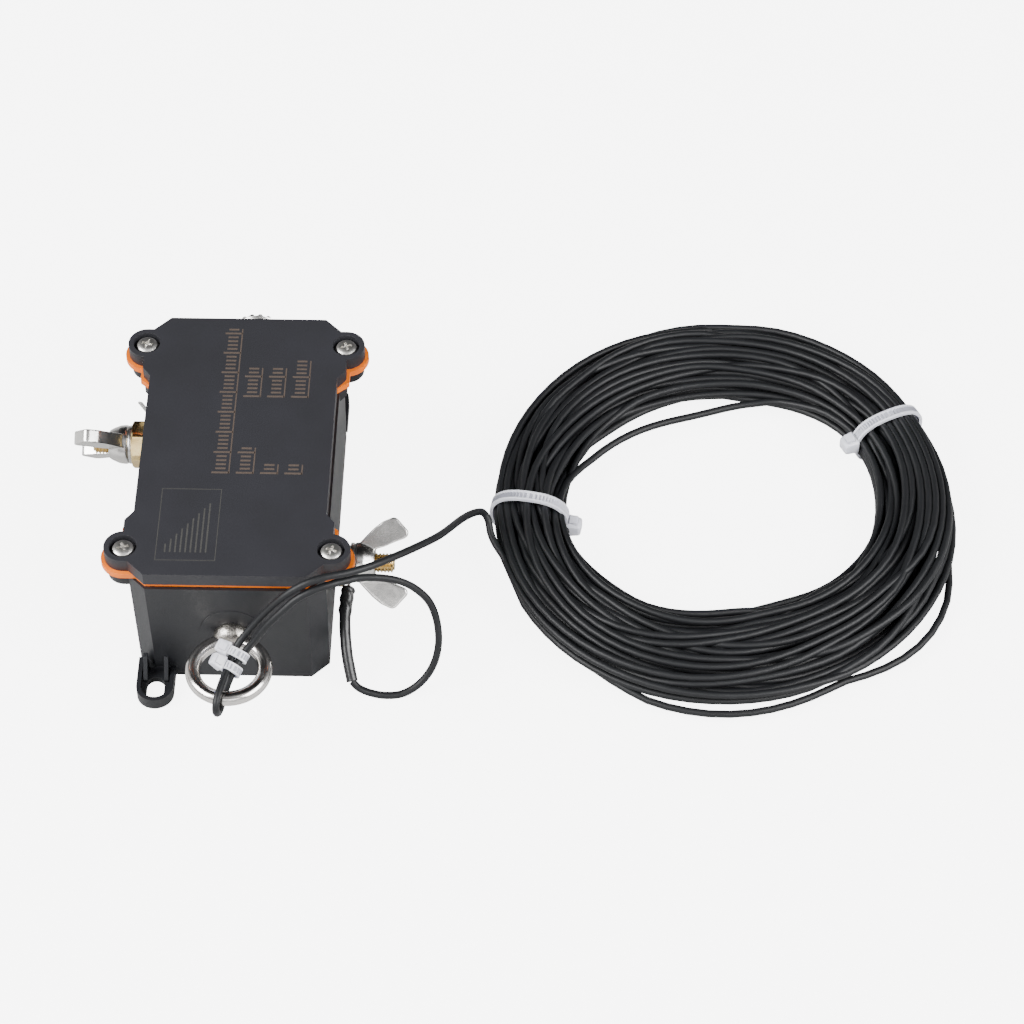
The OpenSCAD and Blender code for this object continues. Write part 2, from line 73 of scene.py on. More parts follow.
def startMaterial(name, values):
    # an empty material with its shader; uniform values sit on the shader's own sockets
    mat = bpy.data.materials.new(name)
    mat.use_nodes = True
    tree = mat.node_tree
    tree.nodes.clear()
    shader = addNode(tree, "ShaderNodeBsdfPrincipled", values)
    addNode(tree, "ShaderNodeOutputMaterial", None, {"Surface": (shader, "BSDF")})
    place = addNode(tree, "ShaderNodeTexCoord")
    return mat, tree, shader, place


def patternScale(sizeMm):
    # noise cells per metre for a pattern whose features are sizeMm across
    return 1000.0 / sizeMm


def mottled(tree, place, low, high, sizeMm, detail=4.0):
    # a colour that drifts between two close tones over patches of sizeMm
    noise = addNode(tree, "ShaderNodeTexNoise", {"Scale": patternScale(sizeMm), "Detail": detail},
                    {"Vector": (place, "Object")})
    mix = addNode(tree, "ShaderNodeMix", {"data_type": "RGBA"}, {0: (noise, "Fac")})
    mix.inputs[6].default_value = toLinear(low)
    mix.inputs[7].default_value = toLinear(high)
    return mix


def bumpOf(tree, source, output, depthMm, strength=1.0):
    return addNode(tree, "ShaderNodeBump", {"Strength": strength, "Distance": depthMm * mm},
                   {"Height": (source, output)})


def moulded(name, spec):
    # moulded plastic: spark-eroded grain in the tool gives a fine, even, slightly silky surface
    mat, tree, shader, place = startMaterial(name, {
        "Roughness": spec["rough"], "IOR": spec.get("ior", 1.53), "Metallic": 0.0,
        "Specular IOR Level": spec.get("sheen", 0.5)})
    tone = mottled(tree, place, spec["low"], spec["high"], spec.get("patch", 14.0))
    grain = addNode(tree, "ShaderNodeTexNoise", {
        "Scale": patternScale(spec["grain"]), "Detail": 2.0, "Roughness": 0.6},
        {"Vector": (place, "Object")})
    bump = bumpOf(tree, grain, "Fac", spec["depth"], spec.get("strength", 0.6))
    gloss = addNode(tree, "ShaderNodeMapRange", {
        "To Min": spec["rough"] - 0.06, "To Max": spec["rough"] + 0.08}, {"Value": (grain, "Fac")})
    tree.links.new(tone.outputs[2], shader.inputs["Base Color"])
    tree.links.new(gloss.outputs["Result"], shader.inputs["Roughness"])
    tree.links.new(bump.outputs["Normal"], shader.inputs["Normal"])
    return mat


def worked(name, spec):
    # bare metal: a metal shader with tool marks or cast skin in the bump and the gloss
    mat, tree, shader, place = startMaterial(name, {
        "Roughness": spec["rough"], "Metallic": 1.0})
    tone = mottled(tree, place, spec["low"], spec["high"], spec.get("patch", 5.0))
    marks = addNode(tree, "ShaderNodeTexNoise", {
        "Scale": patternScale(spec["mark"]), "Detail": 3.0, "Roughness": 0.65},
        {"Vector": (place, "Object")})
    bump = bumpOf(tree, marks, "Fac", spec["depth"], spec.get("strength", 0.5))
    gloss = addNode(tree, "ShaderNodeMapRange", {
        "To Min": max(0.05, spec["rough"] - 0.08), "To Max": spec["rough"] + 0.12},
        {"Value": (marks, "Fac")})
    tree.links.new(tone.outputs[2], shader.inputs["Base Color"])
    tree.links.new(gloss.outputs["Result"], shader.inputs["Roughness"])
    tree.links.new(bump.outputs["Normal"], shader.inputs["Normal"])
    return mat


# Camera: a long lens from the front, looking down at about fifty degrees
cameraSet = {"lens": 134.39, "place": (106.4, -723.4, 878.2), "elevation": 49.93, "azimuth": 2.146,
             "roll": -0.764}


def makeCamera(spec):
    lens = bpy.data.cameras.new("camera")
    lens.lens = spec["lens"]
    lens.sensor_width = 36
    lens.clip_start = 0.05
    lens.clip_end = 20
    camera = bpy.data.objects.new("camera", lens)
    bpy.context.collection.objects.link(camera)
    spin = (Matrix.Rotation(math.radians(spec["azimuth"]), 4, "Z")
            @ Matrix.Rotation(math.radians(90 - spec["elevation"]), 4, "X")
            @ Matrix.Rotation(math.radians(spec["roll"]), 4, "Z"))
    camera.matrix_world = Matrix.Translation(Vector(spec["place"]) * mm) @ spin
    bpy.context.scene.camera = camera


makeCamera(cameraSet)

# The wire's way from the sleeve over the floor, past the front right ear, twice through the two
# small ties and round the ring, back past the ear and down to the coil
leadRoute = [
    (34.5, -52.5, 3), (36.5, -53.8, 1.6), (40, -55.2, 1.2), (44.5, -56, 1.2), (49.5, -55.3, 1.5),
    (54.5, -53, 4), (58, -50.5, 9), (59.5, -47.5, 15), (59, -44, 21), (57, -42, 27),
    (53.5, -41.5, 32), (49.5, -42, 36), (45, -43.2, 39), (40.5, -45, 41.5), (37, -47, 43.5),
    (34, -48.8, 44.5), (30, -51, 45.5), (25, -53, 45), (20.5, -54.5, 43), (16.5, -56, 39.5),
    (12, -57.3, 34.5), (8.5, -58.2, 29), (6, -59, 25.8), (4.5, -60.5, 24.2), (2.6, -63.8, 23),
    (1.2, -66.2, 21), (0, -68.4, 18.6), (-0.8, -71, 16.6), (-1.4, -74, 16.4), (-1.8, -76.2, 18.2),
    (-1.9, -76.8, 21.2), (-1.5, -74.8, 23.4), (-0.5, -70, 24.2), (0.8, -65, 24.4),
    (2.2, -59.5, 25), (4, -56.8, 26.8), (7.5, -55, 31), (12, -54, 37), (17, -53.5, 43),
    (22.5, -52.5, 47), (28.5, -50.8, 48.4), (34.5, -48.8, 48), (41, -45.2, 46.8),
    (46.5, -40.5, 44.8), (53, -33.5, 41.2), (59.5, -24.5, 36), (65, -10, 26), (68.5, -2.6, 20.2),
    (70.8, -0.2, 17.4), (72.3, -1.2, 15), (73, -4, 13), (74.4, -7, 11.6)]
sleeveRoute = [(32.8, -29, 17.2), (32.3, -32, 16), (32, -38.5, 13.2), (32.8, -46, 8),
               (34.5, -52.5, 3)]

# The coil: an oval ring whose bundle has half sizes bundleWide and bundleHigh. Each spread is an
# angle, a span, how much wider the bundle is there and how far of that goes inwards. The length is
# in metres
wireSet = {"diameter": 2.2, "turns": 50, "perTurn": 72, "startAngle": 196.0,
           "centre": (142.2, 11.0), "halfX": 57.2, "halfY": 61.0,
           "bundleWide": 10.7, "bundleHigh": 6.1,
           "middleHigh": 7.9, "lowest": 1.15, "flatDrop": 5.5,
           "tieAngles": (184, 30), "tieSpan": 24, "tieLift": 0.75,
           "spreads": ((-75, 48, 0.45, 1.35), (95, 38, 0.30, 0.5)),
           "afterLead": (77.4, -11.5, 10.2), "keys": 9, "swapReach": 6.4,
           "seed": 5, "length": 18.4}


def smoothRoute(points, steps):
    # Catmull-Rom curve through the points, in millimetres
    pts = [Vector(p) for p in points]
    out = []
    for i in range(len(pts) - 1):
        a, b = pts[max(i - 1, 0)], pts[i]
        c, d = pts[i + 1], pts[min(i + 2, len(pts) - 1)]
        for k in range(steps):
            t = k / steps
            out.append(0.5 * (2 * b + (c - a) * t + (2 * a - 5 * b + 4 * c - d) * t * t
                              + (3 * b - a - 3 * c + d) * t ** 3))
    out.append(pts[-1])
    return out


def bundleSlots(spec):
    # places of the strands in the bundle's cross section, packed like oranges, in a snaking order
    step = spec["diameter"]
    rows = []
    for j in range(-6, 7):
        v = j * step * math.sqrt(3) / 2 * 0.98
        row = []
        for i in range(-9, 10):
            u = (i + 0.5 * (j % 2)) * step * 1.02
            across = (abs(u) / (spec["bundleWide"] + 0.4)) ** 2.3
            if across + (abs(v) / (spec["bundleHigh"] + 0.5)) ** 2.3 < 1:
                row.append((u, v))
        if row:
            rows.append(row if len(rows) % 2 == 0 else row[::-1])
    return [s for row in rows for s in row]


def coilStrands(spec):
    # offsets (outwards, up) of every strand at every step round the coil
    rng = np.random.default_rng(spec["seed"])
    slots = np.array(bundleSlots(spec))
    count = len(slots)
    keys = spec["keys"]
    order = [np.arange(count)]
    for k in range(1, keys):
        last = order[-1].copy()
        for _ in range(count):
            a, b = rng.integers(0, count, 2)
            gap = np.linalg.norm(slots[last[a]] - slots[last[b]])
            if gap < spec["swapReach"]:
                last[a], last[b] = last[b], last[a]
        order.append(last)
    order.append((order[0] + 1) % count)    # a strand's last place is the next strand's first
    steps = spec["perTurn"]
    places = np.zeros((steps, count, 2))
    for s in range(steps):
        x = s / steps * keys
        k = int(x)
        t = x - k
        t = t * t * (3 - 2 * t)
        places[s] = slots[order[k]] * (1 - t) + slots[order[k + 1]] * t
    places[..., 0] += 0.35 * np.sin(np.linspace(0, turn, steps, endpoint=False)[:, None] * 2
                                    + rng.uniform(0, turn, count)[None, :])
    d = spec["diameter"]
    for _ in range(60):    # push strands apart until none overlaps its neighbours much
        for s in range(steps):
            p = places[s]
            gap = p[:, None, :] - p[None, :, :]
            dist = np.linalg.norm(gap, axis=2) + np.eye(count) * 99
            push = np.clip(d * 0.97 - dist, 0, None) / np.maximum(dist, 0.05)
            p += 0.25 * (gap * push[..., None]).sum(axis=1)
            size = ((np.abs(p[:, 0]) / spec["bundleWide"]) ** 2.4
                    + (np.abs(p[:, 1]) / spec["bundleHigh"]) ** 2.4)
            over = size > 1
            p[over] *= (size[over] ** (-1 / 2.4))[:, None] * 0.35 + 0.65
        for k in range(count):    # keep each strand smooth along its length
            nxt = (k + 1) % count
            prv = (k - 1) % count
            col = places[:, k].copy()
            before = np.vstack([places[-1:, prv], col[:-1]])
            after = np.vstack([col[1:], places[:1, nxt]])
            places[:, k] = 0.5 * col + 0.25 * (before + after)
    return places


def nearness(angle, centreDeg, spanDeg):
    # 1 at an angle of the coil, fading to 0 about a span away
    off = angle - math.radians(centreDeg)
    return math.exp(-(math.degrees(math.atan2(math.sin(off), math.cos(off))) / spanDeg) ** 2)


def coilPoint(spec, angle, out, up):
    # a point at an angle round the coil, out and up from the middle of its bundle: the two ties
    # draw the bundle in, and it spreads wider and flatter, mostly inwards, at the front and the back
    squeeze = sum(nearness(angle, tie, spec["tieSpan"]) for tie in spec["tieAngles"])
    width = 1.05 - 0.13 * squeeze
    high = 1.0 + 0.04 * squeeze
    inwards = 0.0
    for centreDeg, spanDeg, wider, inner in spec["spreads"]:
        near = wider * nearness(angle, centreDeg, spanDeg)
        width += near
        high -= 0.45 * near
        inwards += inner * near * spec["bundleWide"]
    wave = 1 + 0.022 * nearness(angle, 178, 30) + 0.006 * math.cos(3 * angle + 0.6)
    c, s = math.cos(angle), math.sin(angle)
    cx, cy = spec["centre"]
    base = Vector((cx + spec["halfX"] * wave * c, cy + spec["halfY"] * wave * s, 0))
    side = Vector((c / spec["halfX"], s / spec["halfY"], 0)).normalized()
    rise = spec["middleHigh"] + spec["tieLift"] * squeeze - spec["flatDrop"] * (1 - min(1.0, high))
    level = max(spec["lowest"], rise + up * high)
    return base + side * (out * width - inwards) + Vector((0, 0, level))


def hump(angleDeg, first, last, power=1.2):
    # rises from 0 to 1 and back between two angles of the coil
    if not first < angleDeg < last:
        return 0.0
    return math.sin(math.pi * (angleDeg - first) / (last - first)) ** power


def evened(values, reach=9):
    # a ring of values, each the mean of its neighbours
    return sum(np.roll(values, k) for k in range(-reach, reach + 1)) / (2 * reach + 1)


def makeWire(spec):
    places = coilStrands(spec)
    steps, count = places.shape[0], places.shape[1]
    start = math.radians(spec["startAngle"])
    middle = places.mean(axis=0)
    outer = int(np.argmax(middle[:, 0] - 0.8 * middle[:, 1]))
    inner = int(np.argmin(middle[:, 0] - 0.4 * middle[:, 1]))
    offset = int(np.argmax(places[0, :, 0]))    # the lead joins the outermost strand
    outEdge = evened(places[:, :, 0].max(axis=1))
    inEdge = evened(places[:, :, 0].min(axis=1))
    pts = smoothRoute(leadRoute + [spec["afterLead"]], 4)[:-1]
    turns = min(spec["turns"], count)
    for n in range(turns):
        k = (offset + n) % count
        for s in range(steps):
            angle = start + turn * s / steps
            if n == 0 and s < 3:
                continue
            degrees = (math.degrees(angle) + 180) % 360 - 180
            out, up = places[s, k]
            if k == outer:    # lies loose on the floor beside the bundle, front right
                w = min(1.0, 1.6 * hump(degrees, -135, 5, 0.8))
                loose = 1.8 * hump(degrees, -122, -60) + 3.6 * hump(degrees, -60, -10)
                out = out * (1 - w) + (outEdge[s] + loose) * w
                up = up * (1 - w) - 5.0 * w
            if k == inner:    # a short cut across the hole, back left
                w = min(1.0, 1.6 * hump(degrees, 50, 182, 0.8))
                out = out * (1 - w) + (inEdge[s] - 5.6 * hump(degrees, 66, 178)) * w
                up = up * (1 - w) - 1.5 * w
            pts.append(coilPoint(spec, angle, out, up))
    curve = bpy.data.curves.new("antennaWire", "CURVE")
    curve.dimensions = "3D"
    curve.bevel_depth = spec["diameter"] / 2 * mm
    curve.bevel_resolution = 3
    curve.use_fill_caps = True
    line = curve.splines.new("POLY")
    line.points.add(len(pts) - 1)
    for point, p in zip(line.points, pts):
        point.co = (p.x * mm, p.y * mm, p.z * mm, 1)
    wire = bpy.data.objects.new("antennaWire", curve)
    bpy.context.collection.objects.link(wire)
    run = sum((b - a).length for a, b in zip(pts, pts[1:])) * mm
    print(f"stage: wire of {run:.2f} m in {turns} turns, {count} places in the bundle")
    return wire, places


antennaWire, strandPlaces = makeWire(wireSet)


def meshObject(name, verts, faces, mat=None, smooth=True):
    mesh = bpy.data.meshes.new(name)
    mesh.from_pydata([tuple(v) for v in verts], [], faces)
    mesh.validate()
    obj = bpy.data.objects.new(name, mesh)
    bpy.context.collection.objects.link(obj)
    if mat:
        mesh.materials.append(mat)
    if smooth:
        mesh.polygons.foreach_set("use_smooth", [True] * len(mesh.polygons))
    return obj


def fromBmesh(name, bm, mat=None, smoothAngle=None):
    mesh = bpy.data.meshes.new(name)
    bmesh.ops.recalc_face_normals(bm, faces=bm.faces)
    if smoothAngle is not None:
        for f in bm.faces:
            f.smooth = True
        for e in bm.edges:
            if len(e.link_faces) == 2 and e.calc_face_angle(0) > math.radians(smoothAngle):
                e.smooth = False
    bm.to_mesh(mesh)
    bm.free()
    obj = bpy.data.objects.new(name, mesh)
    bpy.context.collection.objects.link(obj)
    if mat:
        mesh.materials.append(mat)
    return obj


def routeFrames(pts):
    # position, side and second side at each point of a route, carried along without twist
    frames = []
    side = None
    for i, p in enumerate(pts):
        along = (pts[min(i + 1, len(pts) - 1)] - pts[max(i - 1, 0)]).normalized()
        if side is None:
            side = along.cross(Vector((0, 0, 1)) if abs(along.z) < 0.9 else Vector((1, 0, 0)))
        side = (side - along * side.dot(along)).normalized()
        frames.append((p, side, along.cross(side)))
    return frames


# Heat-shrink sleeve over the lug's barrel: a short crinkled piece at the lug, then a smooth one
# that ends square, a little wider than the wire
sleeveSet = {"topRadius": 1.95, "lowRadius": 1.66, "step": 0.42, "crinkle": 0.16, "sides": 28}


def makeSleeve(spec, mat):
    pts = smoothRoute(sleeveRoute, 14)
    rings = routeFrames(pts)
    verts, faces = [], []
    rng = random.Random(3)
    phases = [(rng.uniform(0, turn), rng.randint(2, 5), rng.uniform(0.5, 1.4)) for _ in range(7)]
    n = spec["sides"]
    last = len(rings) - 1
    for i, (p, a, b) in enumerate(rings):
        t = i / last
        share = 1 / (1 + math.exp((t - spec["step"]) * 70))
        radius = spec["lowRadius"] + (spec["topRadius"] - spec["lowRadius"]) * share
        if t < 0.04:
            radius *= 0.86 + 3.5 * t
        rough = spec["crinkle"] * (share + 0.12)
        for k in range(n):
            angle = turn * k / n
            fold = sum(math.sin(f * angle + ph + g * i * 0.7) for ph, f, g in phases) / 3
            r = radius + rough * fold
            verts.append((p + a * r * math.cos(angle) + b * r * math.sin(angle)) * mm)
    for i in range(last):
        for k in range(n):
            j = (k + 1) % n
            faces.append((i * n + k, (i + 1) * n + k, (i + 1) * n + j, i * n + j))
    faces.append(tuple(range(n)))
    faces.append(tuple(last * n + k for k in range(n - 1, -1, -1)))
    return meshObject("lugSleeve", verts, faces, mat)


def edgesOf(verts):
    # the edges at some corners, each once and always in the same order
    return list(dict.fromkeys(e for v in verts for e in v.link_edges))


def ovalPoint(halfWide, halfHigh, angle, power):
    c, s = math.cos(angle), math.sin(angle)
    return (halfWide * math.copysign(abs(c) ** (2 / power), c),
            halfHigh * math.copysign(abs(s) ** (2 / power), s))


def makeTie(name, spec, matrix, mat):
    # nylon cable tie round an oval bundle: ribbed band, locking head, cut tail
    bm = bmesh.new()
    steps = int(spec["ribs"] * 2)
    half = spec["band"] / 2
    outer, inner = [], []
    for k in range(steps):
        angle = turn * k / steps
        rib = spec["rib"] if k % 2 else 0.0
        iu, iv = ovalPoint(spec["wide"] / 2, spec["high"] / 2, angle, 2.5)
        thick = spec["thick"]
        ou, ov = ovalPoint(spec["wide"] / 2 + thick, spec["high"] / 2 + thick, angle, 2.5)
        scale = 1 - rib / max(0.1, math.hypot(ou, ov))
        outer.append((ou * scale, ov * scale, ou, ov))
        inner.append((iu, iv))
    rings = []
    edge = half * 0.62
    for (ou, ov, fu, fv), (iu, iv) in zip(outer, inner):
        section = [(-half, iu, iv), (-half, fu, fv), (-edge, fu, fv), (-edge, ou, ov), (edge, ou, ov),
                   (edge, fu, fv), (half, fu, fv), (half, iu, iv)]
        rings.append([bm.verts.new((x, u, v)) for x, u, v in section])
    ribbed = 3    # of the eight faces round the band's section, the one between its two rails
    for k in range(steps):
        a, b = rings[k], rings[(k + 1) % steps]
        for i in range(8):
            j = (i + 1) % 8
            face = bm.faces.new((a[i], a[j], b[j], b[i]))
            # one slope of each rib on the central face takes the greyer nylon copy: painted shade
            face.material_index = 1 if i == ribbed and k % 2 else 0
    head = bmesh.ops.create_cube(bm, size=1)["verts"]
    hx, hy, hz = spec["head"]
    for v in head:
        taper = 0.78 if v.co.y > 0 else 1.0
        v.co = Vector((v.co.x * hx * taper, v.co.y * hy + spec["wide"] / 2 + hy / 2 + spec["thick"] * 0.3,
                       v.co.z * hz * taper + spec.get("headUp", 0)))
    bmesh.ops.bevel(bm, geom=edgesOf(head), offset=min(hx, hz) * 0.2, segments=3, profile=0.6, affect="EDGES")
    tail = bmesh.ops.create_cube(bm, size=1)["verts"]
    for v in tail:
        v.co = Vector((v.co.x * spec["band"] * 0.85, v.co.y * hy * 0.5 + spec["wide"] / 2 + hy * 0.55,
                       v.co.z * spec["thick"] * 1.1 + hz * 0.52 + spec.get("headUp", 0)))
    for v in bm.verts:
        v.co = matrix @ v.co * mm
    tie = fromBmesh(name, bm, mat, 34)
    tie.data.materials.append(nylonPaintedShade)
    return tie


def profileTube(spec):
    # a round part along X from rows of (x, radius, thread depth), threaded where the depth is not 0
    n = spec.get("sides", 48)
    rows = spec["rows"]
    verts, faces = [], []
    for x, r, root in rows:
        for k in range(n):
            angle = turn * k / n
            depth = 0.0
            if root:
                phase = (x / spec["pitch"] - k / n) % 1.0
                depth = root * abs(2 * phase - 1) ** 0.9
            radius = r - depth
            verts.append(Vector((x, radius * math.cos(angle), radius * math.sin(angle))))
    for i in range(len(rows) - 1):
        for k in range(n):
            j = (k + 1) % n
            faces.append((i * n + k, i * n + j, (i + 1) * n + j, (i + 1) * n + k))
    if spec.get("closed", True):
        faces.append(tuple(range(n - 1, -1, -1)))
        faces.append(tuple((len(rows) - 1) * n + k for k in range(n)))
    return verts, faces


def threadRows(x0, x1, radius, root, pitch, lead=0.5):
    # rows of a threaded stretch, eight to a turn, with a small lead-in at the far end
    count = max(2, int(round((x1 - x0) / pitch * 8)))
    rows = []
    for i in range(count + 1):
        x = x0 + (x1 - x0) * i / count
        cut = max(0.0, lead - (x1 - x)) if lead else 0.0
        rows.append((x, radius - cut * 0.9, root))
    return rows


def placed(verts, matrix):
    return [matrix @ v * mm for v in verts]


# Brass, turned from bar: warm yellow, fine rings round the axis, slightly tarnished
turnedBrass = worked("turnedBrass", {"low": "#c4a262", "high": "#eed9a4", "rough": 0.2, "mark": 0.7,
                                     "depth": 0.05, "strength": 0.35, "patch": 2.5})
# Stainless steel, forged and tumbled: bright and clean with a soft orange-peel skin
tumbledStainless = worked("tumbledStainless", {"low": "#b9b5b1", "high": "#e4e1dd", "rough": 0.16,
                                               "mark": 1.6, "depth": 0.06, "strength": 0.3,
                                               "patch": 4.0})
# Zinc alloy, cast and nickel plated: bright, with shallow waves and dimples left by the casting
castNickel = worked("castNickel", {"low": "#bdbbb8", "high": "#eceae6", "rough": 0.22, "mark": 2.6,
                                   "depth": 0.09, "strength": 0.32, "patch": 3.0})
# Steel, pressed and nickel plated: flat, satin bright
platedNickel = worked("platedNickel", {"low": "#b4b3b1", "high": "#dad9d6", "rough": 0.27,
                                       "mark": 0.6, "depth": 0.03, "strength": 0.3})
# Steel, cold headed and zinc plated: cool and bright
zincSteel = worked("zincSteel", {"low": "#d6d3cd", "high": "#f3f2ef", "rough": 0.33, "mark": 0.8,
                                 "depth": 0.04, "strength": 0.35})
# Eye bolt's collar: hammered look where the ring was welded on, pitted and darker in the dents
hammeredStainless = worked("hammeredStainless", {"low": "#6d6862", "high": "#cfcac3", "rough": 0.26,
                                                 "mark": 1.1, "depth": 0.3, "strength": 0.8,
                                                 "patch": 0.9})
# ABS, injection moulded: near black with a fine spark-eroded grain that scatters the light
mouldedAbsBase = moulded("mouldedAbsBase", {"low": "#141518", "high": "#1b1c1f", "sheen": 0.3, "rough": 0.4,
                                            "grain": 0.45, "depth": 0.05, "strength": 0.5})
mouldedAbsLid = moulded("mouldedAbsLid", {"low": "#1f1f22", "high": "#26262a", "sheen": 0.3, "rough": 0.46,
                                          "grain": 0.4, "depth": 0.05, "strength": 0.5})
# Silicone rubber, moulded: even orange with a soft sheen
mouldedSilicone = moulded("mouldedSilicone", {"low": "#cf5c08", "high": "#e27612", "rough": 0.42,
                                              "ior": 1.41, "grain": 1.2, "depth": 0.03,
                                              "patch": 6.0})
# Shrink sleeve, polyolefin: black, waxy, drawn tight with small folds
shrunkSleeve = moulded("shrunkPolyolefin", {"low": "#0b0b0c", "high": "#151517", "rough": 0.33,
                                            "grain": 0.9, "depth": 0.08, "patch": 3.0})
# Wire sheath, extruded silicone over copper: dark grey, satin, with dull handling patches
wireSheath = moulded("extrudedSheath", {"low": "#0d0e10", "high": "#161719", "sheen": 0.26, "rough": 0.48,
                                        "grain": 0.8, "depth": 0.04, "patch": 7.0,
                                        "strength": 0.4})
# Loom of inner leads, extruded vinyl
redVinyl = moulded("extrudedRedVinyl", {"low": "#8f1a17", "high": "#a8251f", "rough": 0.35,
                                        "grain": 0.8, "depth": 0.03})
blackVinyl = moulded("extrudedBlackVinyl", {"low": "#18181a", "high": "#222225", "rough": 0.35,
                                            "grain": 0.8, "depth": 0.03})
# Ferrite, pressed, sintered and tumbled: dull grey black, faintly grainy
sinteredFerrite = moulded("sinteredFerrite", {"low": "#343437", "high": "#454549", "rough": 0.62,
                                              "grain": 0.5, "depth": 0.08, "ior": 1.7})
# Foam, closed cell, cut from sheet
cutFoam = moulded("cutFoam", {"low": "#4a4a4c", "high": "#66666a", "rough": 0.9, "grain": 0.8,
                              "depth": 0.3, "strength": 1.0})
# Capacitor body, dipped in lacquer: glossy ochre
dippedLacquer = moulded("dippedLacquer", {"low": "#b06f24", "high": "#c98a3a", "rough": 0.22,
                                          "grain": 1.6, "depth": 0.05})
# Insulator, moulded fluoropolymer: waxy off-white
waxyInsulator = moulded("mouldedFluoropolymer", {"low": "#e0dccf", "high": "#efece2", "rough": 0.38,
                                                 "ior": 1.38, "grain": 1.0, "depth": 0.03})
# Copper wire, enamelled: red brown and glossy over the metal
enamelledCopper = worked("enamelledCopper", {"low": "#8c3f1c", "high": "#b8602f", "rough": 0.25,
                                             "mark": 1.2, "depth": 0.03})


def nylonMaterial(spec):
    # nylon, moulded in natural white: milky, lets some light through
    mat, tree, shader, place = startMaterial("mouldedNylon", {
        "Roughness": spec["rough"], "IOR": 1.53, "Subsurface Weight": spec["milky"],
        "Subsurface Scale": spec["scatter"] * mm, "Subsurface Radius": (1.0, 1.0, 1.1)})
    tone = mottled(tree, place, spec["low"], spec["high"], 3.0)
    grain = addNode(tree, "ShaderNodeTexNoise", {"Scale": patternScale(0.8), "Detail": 2.0},
                    {"Vector": (place, "Object")})
    bump = bumpOf(tree, grain, "Fac", 0.03, 0.5)
    tree.links.new(tone.outputs[2], shader.inputs["Base Color"])
    tree.links.new(bump.outputs["Normal"], shader.inputs["Normal"])
    return mat


mouldedNylon = nylonMaterial({"rough": 0.34, "milky": 0.5, "scatter": 1.2, "low": "#bcbdc8",
                              "high": "#dddee4"})
# Painted shade on one side of each rib: the same nylon, greyer, so that the ribs read from afar
nylonPaintedShade = moulded("nylonPaintedShade", {"low": "#7d7e88", "high": "#96979f", "rough": 0.45, "grain": 0.6,
                                      "depth": 0.02})
print("stage: materials made")

antennaWire.data.materials.append(wireSheath)
lugSleeve = makeSleeve(sleeveSet, shrunkSleeve)

# Ties: two small ones hold the wire's two strands at the ring, two wide ones hold the coil
ringTieSet = {"wide": 5.0, "high": 2.7, "thick": 0.75, "band": 2.6, "rib": 0.22, "ribs": 18,
              "head": (4.4, 4.0, 3.1)}
coilTieSet = {"thick": 1.0, "band": 3.4, "rib": 0.62, "ribs": 72, "head": (5.6, 4.6, 5.0)}
ringTiePlaces = {"ringTieUpper": ((3.3, -60.2, 24.6), (-15, 20, -118)),
                 "ringTieLower": ((1.6, -64.4, 23.4), (-40, 15, -111))}
coilTiePlaces = {"coilTieLeft": (184.0, -13.0, -2.5), "coilTieRight": (30.0, 0.0, 1.5)}


def spun(angles):
    x, y, z = (math.radians(a) for a in angles)
    return Matrix.Rotation(z, 4, "Z") @ Matrix.Rotation(y, 4, "Y") @ Matrix.Rotation(x, 4, "X")


flipY = Matrix.Diagonal((1, -1, 1, 1))
ties = {}
for tieName, (middle, angles) in ringTiePlaces.items():
    matrix = Matrix.Translation(middle) @ spun(angles) @ flipY
    ties[tieName] = makeTie(tieName, ringTieSet, matrix, mouldedNylon)


def strandSpread(angleDeg):
    # how far the strands reach in and out, up and down, at an angle round the coil
    steps = wireSet["perTurn"]
    s = int(round((angleDeg - wireSet["startAngle"]) % 360 / 360 * steps)) % steps
    angle = math.radians(angleDeg)
    middle = coilPoint(wireSet, angle, 0, 0)
    side = Vector((math.cos(angle) / wireSet["halfX"], math.sin(angle) / wireSet["halfY"], 0)).normalized()
    reach = []
    for out, up in strandPlaces[s]:
        p = coilPoint(wireSet, angle, out, up) - middle
        reach.append((p.dot(side), p.z))
    outs = [r[0] for r in reach]
    ups = [r[1] for r in reach]
    return middle, side, min(outs), max(outs), min(ups), max(ups)


for tieName, (angleDeg, slant, headUp) in coilTiePlaces.items():
    middle, side, lowOut, highOut, lowUp, highUp = strandSpread(angleDeg)
    spec = dict(coilTieSet, wide=highOut - lowOut + 1.8, high=highUp - lowUp + 2.3, headUp=headUp)
    centre = middle + side * (lowOut + highOut) / 2 + Vector((0, 0, (lowUp + highUp) / 2))
    along = side.cross(Vector((0, 0, 1)))
    matrix = Matrix.Translation(centre) @ Matrix.Rotation(math.radians(slant), 4, "Z") @ Matrix((
        (along.x, -side.x, 0, 0), (along.y, -side.y, 0, 0), (along.z, -side.z, 1, 0), (0, 0, 0, 1)))
    ties[tieName] = makeTie(tieName, spec, matrix, mouldedNylon)
    print("stage:", tieName, [round(v, 1) for v in (lowOut, highOut, lowUp, highUp)])

for tieName, node in (("ringTieUpper", "ring_tie_a"), ("ringTieLower", "ring_tie_b"),
                      ("coilTieLeft", "coil_tie_left"), ("coilTieRight", "coil_tie_right")):
    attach(ties[tieName], "case")
    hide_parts(node)

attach(lugSleeve, "case")
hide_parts("lug_sleeve")
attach(antennaWire, "case")
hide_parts("wire_lead", "wire_coil")
print("stage: wire, sleeve and ties made")

# Terminals: M6 brass studs with a hexagon head inside the case
studSet = {"radius": 2.95, "root": 0.6, "pitch": 1.0, "seat": 23.4,
           "tip": 45.9, "headFlats": 10.0, "headHigh": 4.0}


